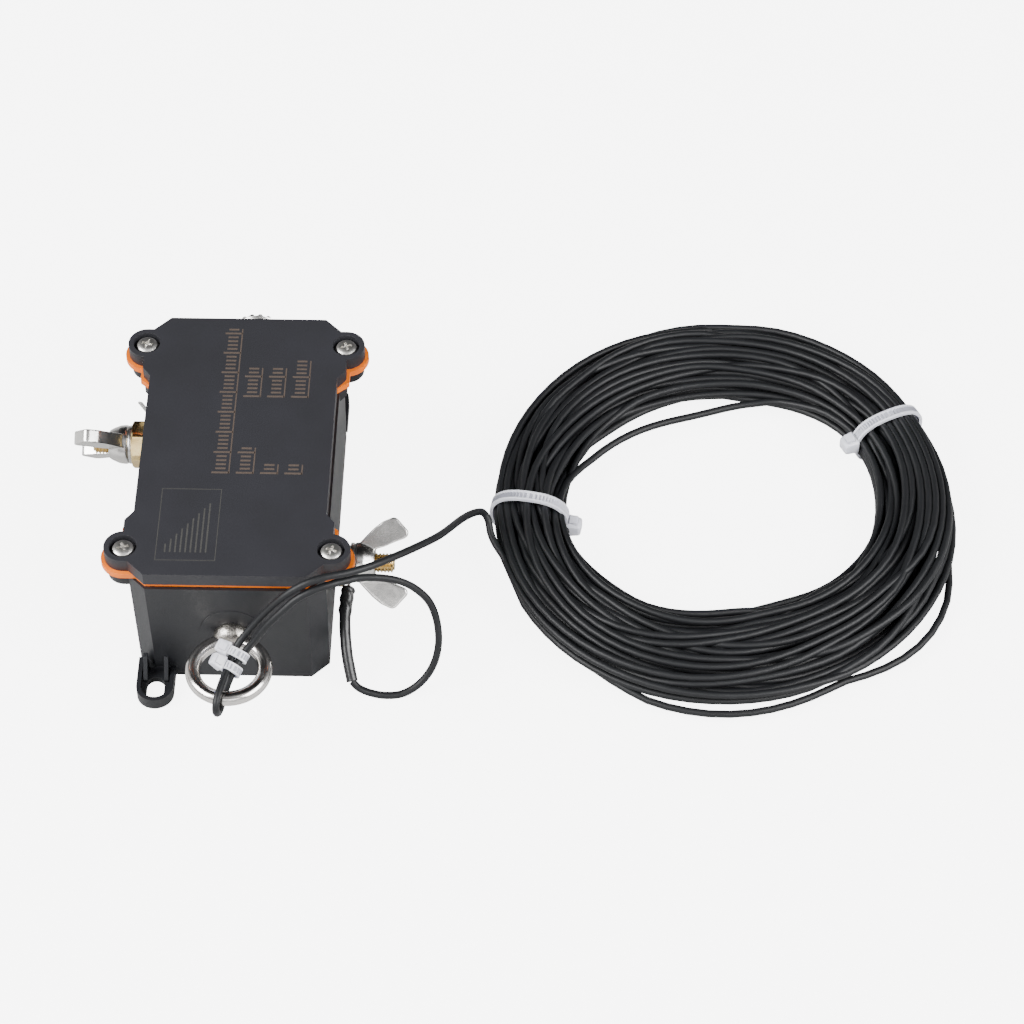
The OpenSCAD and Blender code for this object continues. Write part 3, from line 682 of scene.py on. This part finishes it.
def hexPrism(x0, x1, flats, spin, chamfer=0.6):
    # a hexagon bar along X with its corners turned off at both ends
    n = 48
    verts, faces = [], []
    corner = flats / math.sqrt(3)
    rows = [(x0, -chamfer), (x0 + chamfer * 0.55, 0.0), (x1 - chamfer * 0.55, 0.0), (x1, -chamfer)]
    for x, cut in rows:
        for k in range(n):
            angle = turn * k / n
            local = (angle - math.radians(spin)) % (math.pi / 3) - math.pi / 6
            r = flats / 2 / math.cos(local)
            if cut:
                r = min(r, corner + cut)
            verts.append(Vector((x, r * math.cos(angle), r * math.sin(angle))))
    for i in range(3):
        for k in range(n):
            j = (k + 1) % n
            faces.append((i * n + k, i * n + j, (i + 1) * n + j, (i + 1) * n + k))
    faces.append(tuple(range(n - 1, -1, -1)))
    faces.append(tuple(3 * n + k for k in range(n)))
    return verts, faces


def joined(parts):
    verts, faces = [], []
    for v, f in parts:
        base = len(verts)
        verts += v
        faces += [tuple(i + base for i in face) for face in f]
    return verts, faces


def solidObject(name, parts, matrix, mat, smoothAngle=32):
    verts, faces = joined(parts)
    bm = bmesh.new()
    made = [bm.verts.new(v) for v in placed(verts, matrix)]
    for face in faces:
        bm.faces.new([made[i] for i in face])
    return fromBmesh(name, bm, mat, smoothAngle)


def makeStud(name, spec, matrix):
    shank = {"rows": threadRows(spec["seat"] - 0.5, spec["tip"], spec["radius"], spec["root"],
                                spec["pitch"], 0.7), "pitch": spec["pitch"]}
    return solidObject(name, [profileTube(shank),
                              hexPrism(spec["seat"] - spec["headHigh"], spec["seat"],
                                       spec["headFlats"], 30)], matrix, turnedBrass, 60)


terminals = {"left": Matrix.Translation((0, 22, 20)) @ Matrix.Diagonal((-1, 1, 1, 1)),
             "right": Matrix.Translation((0, -22, 20))}
for sideName, matrix in terminals.items():
    stud = makeStud(sideName + "Stud", studSet, matrix)
    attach(stud, "case")
    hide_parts(sideName + "_bolt")

# Hexagon nuts of brass under the washers
nutSet = {"flats": 12.7, "left": (28.8, 34.2, 50), "right": (28.0, 31.4, 40)}
for sideName, matrix in terminals.items():
    x0, x1, spin = nutSet[sideName]
    nut = solidObject(sideName + "HexNut", [hexPrism(x0, x1, nutSet["flats"], spin, 0.75)], matrix,
                      turnedBrass, 24)
    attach(nut, "case")
    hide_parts(sideName + "_hex_nut")

# Wing nuts: a tapered hub with two broad wings that lean outwards, melted together by a remesh
wingSet = {"start": {"left": 35.3, "right": 34.3}, "angle": {"left": 120, "right": 42},
           "hub": [(0.0, 5.6), (0.8, 5.85), (2.6, 5.7), (4.6, 4.9), (5.7, 4.3), (6.0, 3.9)], "bore": 3.02,
           "half": 1.6, "thinner": 0.25, "rim": 1.5, "dish": 0.6, "voxel": 0.2, "smooth": 12,
           "keep": 0.4}


def wingOutline():
    # axial and radial points of one wing: a paddle with a broad, slanting end and rounded corners
    pts = [(0.9, 3.5), (1.1, 5.4), (3.0, 7.5), (5.4, 10.0), (7.8, 11.9)]
    for (cx, cy), first, last in (((11.1, 11.5), 112, 35), ((13.7, 8.7), 25, -75)):
        pts += [(cx + 1.7 * math.cos(math.radians(a)), cy + 1.7 * math.sin(math.radians(a)))
                for a in np.linspace(first, last, 6)]
    return pts + [(11.4, 6.0), (8.8, 4.8), (6.6, 4.1), (5.2, 3.5)]


def makeWingNut(name, spec, matrix):
    bm = bmesh.new()
    n = 64
    hub = spec["hub"]
    loop = hub + [(hub[-1][0], spec["bore"]), (hub[0][0], spec["bore"])]
    rings = [[bm.verts.new((x, r * math.cos(turn * k / n), r * math.sin(turn * k / n)))
              for k in range(n)] for x, r in loop]
    for i in range(len(rings)):
        a, b = rings[i], rings[(i + 1) % len(rings)]
        for k in range(n):
            j = (k + 1) % n
            bm.faces.new((a[k], a[j], b[j], b[k]))
    for sign in (1, -1):
        front, back = [], []
        for x, y in wingOutline():
            thick = spec["half"] - spec["thinner"] * min(1.0, max(0.0, (y - 4) / 5.5))
            front.append(bm.verts.new((x, sign * y, thick)))
            back.append(bm.verts.new((x, sign * y, -thick)))
        faces = [bm.faces.new(front), bm.faces.new(back[::-1])]
        bmesh.ops.recalc_face_normals(bm, faces=faces)
        bmesh.ops.inset_region(bm, faces=faces, thickness=spec["rim"], depth=-spec["dish"])
        for k in range(len(front)):
            j = (k + 1) % len(front)
            bm.faces.new((front[k], back[k], back[j], front[j]))
    bmesh.ops.recalc_face_normals(bm, faces=bm.faces)
    for v in bm.verts:
        v.co = matrix @ v.co * mm
    nut = fromBmesh(name, bm, castNickel)
    remesh = nut.modifiers.new("melt", "REMESH")
    remesh.mode = "VOXEL"
    remesh.voxel_size = spec["voxel"] * mm
    remesh.use_smooth_shade = True
    soften = nut.modifiers.new("soften", "SMOOTH")
    soften.iterations = spec["smooth"]
    soften.factor = 0.5
    thin = nut.modifiers.new("thin", "DECIMATE")
    thin.ratio = spec["keep"]
    bakeModifiers(nut)
    return nut


def bakeModifiers(obj):
    graph = bpy.context.evaluated_depsgraph_get()
    mesh = bpy.data.meshes.new_from_object(obj.evaluated_get(graph))
    old = obj.data
    obj.modifiers.clear()
    obj.data = mesh
    bpy.data.meshes.remove(old)


for sideName, matrix in terminals.items():
    spin = Matrix.Rotation(math.radians(wingSet["angle"][sideName]), 4, "X")
    shift = Matrix.Translation((wingSet["start"][sideName], 0, 0))
    nut = makeWingNut(sideName + "WingNut", wingSet, matrix @ shift @ spin)
    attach(nut, sideName + "_wing_nut")
    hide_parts(sideName + "_wing_nut")
print("stage: terminals made")

# Eye bolt: round ring on a short rough collar
eyeSet = {"centre": (0.6, -62.05, 20), "ring": 10.3, "tube": 2.15,
          "collar": [(-49.25, 5.1), (-49.9, 5.3), (-51.2, 5.2), (-52.4, 4.6), (-53.4, 3.6)],
          "shank": (-39.6, -49.3), "shankRadius": 2.5, "root": 0.45, "pitch": 0.8}


def makeRing(spec):
    bm = bmesh.new()
    major, minor = 112, 32
    cx, cy, cz = spec["centre"]
    grid = []
    for i in range(major):
        a = turn * i / major
        near = max(0.0, math.cos(a - math.pi / 2)) ** 14    # the ring thickens a little at the collar
        r = spec["tube"] * (1 + 0.12 * near)
        row = []
        for k in range(minor):
            reach = spec["ring"] + r * math.cos(turn * k / minor)
            row.append(bm.verts.new(Vector((cx + reach * math.cos(a), cy + reach * math.sin(a),
                                            cz + r * math.sin(turn * k / minor))) * mm))
        grid.append(row)
    for i in range(major):
        a, b = grid[i], grid[(i + 1) % major]
        for k in range(minor):
            j = (k + 1) % minor
            bm.faces.new((a[k], a[j], b[j], b[k]))
    return fromBmesh("eyeRing", bm, tumbledStainless, 80)


eyeRing = makeRing(eyeSet)
toBack = (Matrix.Translation((eyeSet["centre"][0], 0, eyeSet["centre"][2]))
          @ Matrix.Rotation(math.radians(90), 4, "Z"))
collarRows = [(y, r, 0) for y, r in reversed(eyeSet["collar"])]
eyeCollar = solidObject("eyeCollar", [profileTube({"rows": collarRows, "sides": 64})],
                        toBack, hammeredStainless, 50)
shankRows = {"rows": threadRows(eyeSet["shank"][1], eyeSet["shank"][0], eyeSet["shankRadius"],
                                eyeSet["root"], eyeSet["pitch"]), "pitch": eyeSet["pitch"]}
eyeShank = solidObject("eyeShank", [profileTube(shankRows)], toBack, tumbledStainless, 60)
for piece in (eyeRing, eyeCollar, eyeShank):
    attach(piece, "case")
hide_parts("eye_bolt")

# Coax socket: square flange, threaded barrel with a notched rim
socketSet = {"middle": (0, 20), "face": 49.25, "flange": 25.4, "thick": 2.5, "barrel": 7.94,
             "bore": 6.2, "long": 17.0, "pitch": 1.06, "root": 0.5, "notches": 18, "notchDeep": 0.9}


def makeSocket(spec):
    n = spec["notches"] * 4
    y0 = spec["face"] + spec["thick"]
    y1 = y0 + spec["long"]
    plain = [(y0, spec["barrel"], 0), (y0 + 1.2, spec["barrel"], 0)]
    rows = plain + [(y, r, root) for y, r, root in threadRows(y0 + 1.4, y1 - 1.2, spec["barrel"],
                                                            spec["root"], spec["pitch"], 0)]
    rows += [(y1 - 1.0, spec["barrel"], 0), (y1, spec["barrel"] - 0.35, 0), (y1, spec["bore"], 0),
             (y1 - 3.4, spec["bore"], 0), (41.2, spec["bore"], 0), (43.5, spec["bore"], 0)]
    verts, faces = profileTube({"rows": rows, "pitch": spec["pitch"], "sides": n, "closed": False})
    rim = [len(rows) - 5, len(rows) - 4]
    for row in rim:
        for k in range(n):
            if k % 4 in (1, 2):
                verts[row * n + k].x -= spec["notchDeep"]
    bm = bmesh.new()
    made = [bm.verts.new(v) for v in verts]
    for face in faces:
        bm.faces.new([made[i] for i in face])
    plate = bmesh.ops.create_cube(bm, size=1)["verts"]
    for v in plate:
        v.co = Vector((v.co.x * spec["thick"] + spec["face"] + spec["thick"] / 2,
                       v.co.y * spec["flange"], v.co.z * spec["flange"]))
    corners = [e for e in edgesOf(plate) if abs(e.verts[0].co.x - e.verts[1].co.x) > 1]
    bmesh.ops.bevel(bm, geom=corners, offset=1.6, segments=4, profile=0.5, affect="EDGES")
    rims = [e for e in bm.edges if len(e.link_faces) == 2 and all(
        abs(v.co.x - spec["face"] - spec["thick"]) < 0.01 for v in e.verts) and max(
        abs(e.verts[0].co.y), abs(e.verts[0].co.z)) > spec["flange"] / 2 - 1.7]
    bmesh.ops.bevel(bm, geom=rims, offset=0.35, segments=2, profile=0.5, affect="EDGES")
    turned = Matrix.Translation((0, 0, 20)) @ Matrix.Rotation(math.radians(90), 4, "Z")
    for v in bm.verts:
        v.co = turned @ v.co * mm
    return fromBmesh("coaxSocket", bm, platedNickel, 32)


coaxSocket = makeSocket(socketSet)
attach(coaxSocket, "case")
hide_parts("coax_socket")
print("stage: socket and eye bolt made")


# CAD nodes that keep their shape: welded, their flat faces cleaned, edges rounded a little
def edgeSmoother():
    group = bpy.data.node_groups.new("smoothByAngle", "GeometryNodeTree")
    group.interface.new_socket("Geometry", in_out="INPUT", socket_type="NodeSocketGeometry")
    group.interface.new_socket("Geometry", in_out="OUTPUT", socket_type="NodeSocketGeometry")
    start = addNode(group, "NodeGroupInput")
    clear = addNode(group, "GeometryNodeRemoveAttribute", {"Name": "custom_normal"},
                    {"Geometry": (start, "Geometry")})
    soft = addNode(group, "GeometryNodeSetShadeSmooth", {"domain": "FACE", "Shade Smooth": True},
                   {"Geometry": (clear, "Geometry")})
    fold = addNode(group, "GeometryNodeInputMeshEdgeAngle")
    sharp = addNode(group, "FunctionNodeCompare", {
        "data_type": "FLOAT", "operation": "GREATER_THAN", 1: math.radians(32)},
        {0: (fold, "Unsigned Angle")})
    hard = addNode(group, "GeometryNodeSetShadeSmooth", {"domain": "EDGE", "Shade Smooth": False},
                   {"Geometry": (soft, "Geometry"), "Selection": (sharp, "Result")})
    addNode(group, "NodeGroupOutput", None, {"Geometry": (hard, "Geometry")})
    return group


smoothGroup = edgeSmoother()


def dress(nodeName, mat, rounding=0.0):
    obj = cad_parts[nodeName]
    obj.data.materials.clear()
    obj.data.materials.append(mat)
    weld = obj.modifiers.new("weld", "WELD")
    weld.merge_threshold = 0.000004
    if rounding:
        flat = obj.modifiers.new("flat", "DECIMATE")
        flat.decimate_type = "DISSOLVE"
        flat.angle_limit = math.radians(0.4)
        bevel = obj.modifiers.new("round", "BEVEL")
        bevel.width = rounding * mm
        bevel.segments = 2
        bevel.limit_method = "ANGLE"
        bevel.angle_limit = math.radians(33)
        bevel.use_clamp_overlap = True
    smooth = obj.modifiers.new("smooth", "NODES")
    smooth.node_group = smoothGroup
    if rounding:
        obj.modifiers.new("even", "WEIGHTED_NORMAL").keep_sharp = True
    return obj


finishes = {
    "base_shell": (mouldedAbsBase, 0.35), "lid": (mouldedAbsLid, 0.3), "gasket": (mouldedSilicone, 0.3),
    "lid_screws": (zincSteel, 0.08), "socket_insulator": (waxyInsulator, 0.1),
    "socket_contact": (turnedBrass, 0.1), "socket_screws": (zincSteel, 0.08),
    "socket_nuts": (zincSteel, 0.15), "earth_tag": (platedNickel, 0.08),
    "inner_washers": (platedNickel, 0.12), "inner_tags": (platedNickel, 0.08),
    "left_solder_tag": (platedNickel, 0.1), "left_washer": (platedNickel, 0.12),
    "right_lug_washer": (platedNickel, 0.12), "ring_lug": (platedNickel, 0.1),
    "right_washer": (platedNickel, 0.12), "eye_nut": (tumbledStainless, 0.15),
    "eye_washer": (tumbledStainless, 0.12), "core_pad": (cutFoam, 0.4),
    "ferrite_core": (sinteredFerrite, 0.0), "primary_winding": (redVinyl, 0.0),
    "secondary_winding": (enamelledCopper, 0.0), "capacitor": (dippedLacquer, 0.0),
    "lead_socket": (redVinyl, 0.0), "lead_earth": (blackVinyl, 0.0),
    "lead_common": (blackVinyl, 0.0), "lead_antenna": (redVinyl, 0.0)}
for nodeName, (mat, rounding) in finishes.items():
    dress(nodeName, mat, rounding)

# Laser marks on the lid: four rows of plain ticks like a scale, and a framed bar symbol
markSet = {"rowX": (-4.0, 3.0, 10.0, 17.0), "rowWide": 5.0, "from": -11.5, "again": 18.0,
           "rowEnds": ((45,), (-1, 29.5), (-8, 29.5), (-8, 32.5)), "tick": 0.72, "tickStep": 1.55,
           "lift": 0.03, "barFrom": 2.4, "barFoot": 3.0, "barLow": 6.0,
           "frame": (-20.1, -44.0, -2.9, -17.4), "line": 0.26,
           "bars": 9, "barStep": 1.45, "barWide": 0.5, "barRise": 1.9}
# Laser marking on ABS: the surface foams to a dull warm brown grey, greyer where the beam is fast
laserMark = moulded("laserMarkedAbs", {"low": "#3a322d", "high": "#4a4039", "rough": 0.7, "sheen": 0.2,
                                       "grain": 0.3, "depth": 0.05, "patch": 1.2})
fastMark = moulded("fastMarkedAbs", {"low": "#2c2c2b", "high": "#3b3a38", "rough": 0.7, "sheen": 0.2,
                                     "grain": 0.3, "depth": 0.05, "patch": 1.2})


def makeMarks(spec, top):
    bm = bmesh.new()

    def bar(x0, y0, x1, y1, slot=0):
        corners = [(x0, y0), (x1, y0), (x1, y1), (x0, y1)]
        face = bm.faces.new([bm.verts.new((x * mm, y * mm, top + spec["lift"] * mm)) for x, y in corners])
        face.material_index = slot

    for middle, ends in zip(spec["rowX"], spec["rowEnds"]):
        stretches = [(spec["from"], ends[0])]
        if len(ends) > 1:
            stretches.append((spec["again"], ends[1]))
        for first, last in stretches:
            y = first
            count = 0
            while y < last:
                high = spec["rowWide"] * (0.5 if count % 5 == 0 else 0.3)
                bar(middle - high, y, middle + high, y + spec["tick"])
                y += spec["tickStep"]
                count += 1
            edge = middle + spec["rowWide"] * 0.5
            bar(edge - 0.2, first, edge + 0.2, y - 0.9)
    x0, y0, x1, y1 = spec["frame"]
    w = spec["line"]
    bar(x0, y0, x1, y0 + w, 1)
    bar(x0, y1 - w, x1, y1, 1)
    bar(x0, y0 + w, x0 + w, y1 - w, 1)
    bar(x1 - w, y0 + w, x1, y1 - w, 1)
    for k in range(spec["bars"]):    # rising bars, like a signal meter
        left = x0 + spec["barFrom"] + k * spec["barStep"]
        peak = y0 + spec["barLow"] + k * spec["barRise"]
        bar(left, y0 + spec["barFoot"], left + spec["barWide"], peak, 1)
    marks = fromBmesh("lidMarks", bm, laserMark)
    marks.data.materials.append(fastMark)
    return marks


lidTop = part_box("lid")[1][2]
lidMarks = makeMarks(markSet, lidTop)
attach(lidMarks, "lid")
print("stage: lid marked")

# Studio: pale floor, soft sky, three large soft lamps
studioSet = {"floor": "#b4b4b3", "floorPatch": "#bababa", "wall": "#f4f4f6",
             "flag": "#1c1c1e", "flagTowards": (0.0, 0.64, 0.77), "skyPower": 1.35,
             "gapScale": 3.1, "gapLight": 0.35,
             "lamps": [("keyLamp", (-0.95, -0.35, 0.9), (1.0, 0.8), 46.0),
                       ("fillLamp", (1.0, -0.45, 0.8), (1.0, 0.8), 34.0),
                       ("frontLamp", (0.1, -1.5, 0.9), (1.2, 0.4), 4.0)],
             "floorGlow": 6.0}


def makeStudio(spec):
    floorMat, tree, shader, place = startMaterial("paintedFloor", {"Roughness": 0.75, "IOR": 1.45})
    tone = mottled(tree, place, spec["floor"], spec["floorPatch"], 60.0)
    tree.links.new(tone.outputs[2], shader.inputs["Base Color"])
    # the floor glows for the camera only: it shows near white, and throws none of that on the piece
    seen = addNode(tree, "ShaderNodeLightPath")
    glow = addNode(tree, "ShaderNodeMath", {"operation": "MULTIPLY", 1: spec["floorGlow"]},
                   {0: (seen, "Is Camera Ray")})
    shader.inputs["Emission Color"].default_value = toLinear("#ffffff")
    tree.links.new(glow.outputs["Value"], shader.inputs["Emission Strength"])
    size = 3.0
    floor = meshObject("floor", [(-size, -size, -0.0001), (size, -size, -0.0001),
                                 (size, size, -0.0001), (-size, size, -0.0001)], [(0, 1, 2, 3)],
                       floorMat, False)
    world = bpy.data.worlds.new("studio")
    bpy.context.scene.world = world
    world.use_nodes = True
    tree = world.node_tree
    tree.nodes.clear()
    place = addNode(tree, "ShaderNodeTexCoord")
    # a dark flag stands behind and above, where the lid would mirror the sky; the walls are pale
    facing = addNode(tree, "ShaderNodeVectorMath", {"operation": "DOT_PRODUCT", 1: spec["flagTowards"]},
                     {0: (place, "Generated")})
    ramp = addNode(tree, "ShaderNodeValToRGB", None, {"Fac": (facing, "Value")})
    ramp.color_ramp.elements[0].position = 0.42
    ramp.color_ramp.elements[0].color = toLinear(spec["wall"])
    ramp.color_ramp.elements[1].position = 0.8
    ramp.color_ramp.elements[1].color = toLinear(spec["flag"])
    # gaps between the soft boxes round the walls, which give bare metal its dark streaks
    gaps = addNode(tree, "ShaderNodeTexNoise", {"Scale": spec["gapScale"], "Detail": 0.0},
                   {"Vector": (place, "Generated")})
    edge = addNode(tree, "ShaderNodeMapRange", {
        "From Min": 0.42, "From Max": 0.56, "To Min": spec["gapLight"], "To Max": 1.0},
        {"Value": (gaps, "Fac")})
    power = addNode(tree, "ShaderNodeMath", {"operation": "MULTIPLY", 1: spec["skyPower"]},
                    {0: (edge, "Result")})
    sky = addNode(tree, "ShaderNodeBackground", None,
                  {"Color": (ramp, "Color"), "Strength": (power, "Value")})
    addNode(tree, "ShaderNodeOutputWorld", None, {"Surface": (sky, "Background")})
    for name, where, size, power in spec["lamps"]:
        lamp = bpy.data.lights.new(name, "AREA")
        lamp.shape = "RECTANGLE"
        lamp.size, lamp.size_y = size
        lamp.energy = power
        obj = bpy.data.objects.new(name, lamp)
        bpy.context.collection.objects.link(obj)
        obj.location = where
        obj.rotation_euler = (Vector((0.05, 0, 0.02)) - Vector(where)).to_track_quat("-Z", "Y").to_euler()


makeStudio(studioSet)
bpy.context.view_layer.update()
print("stage: done")
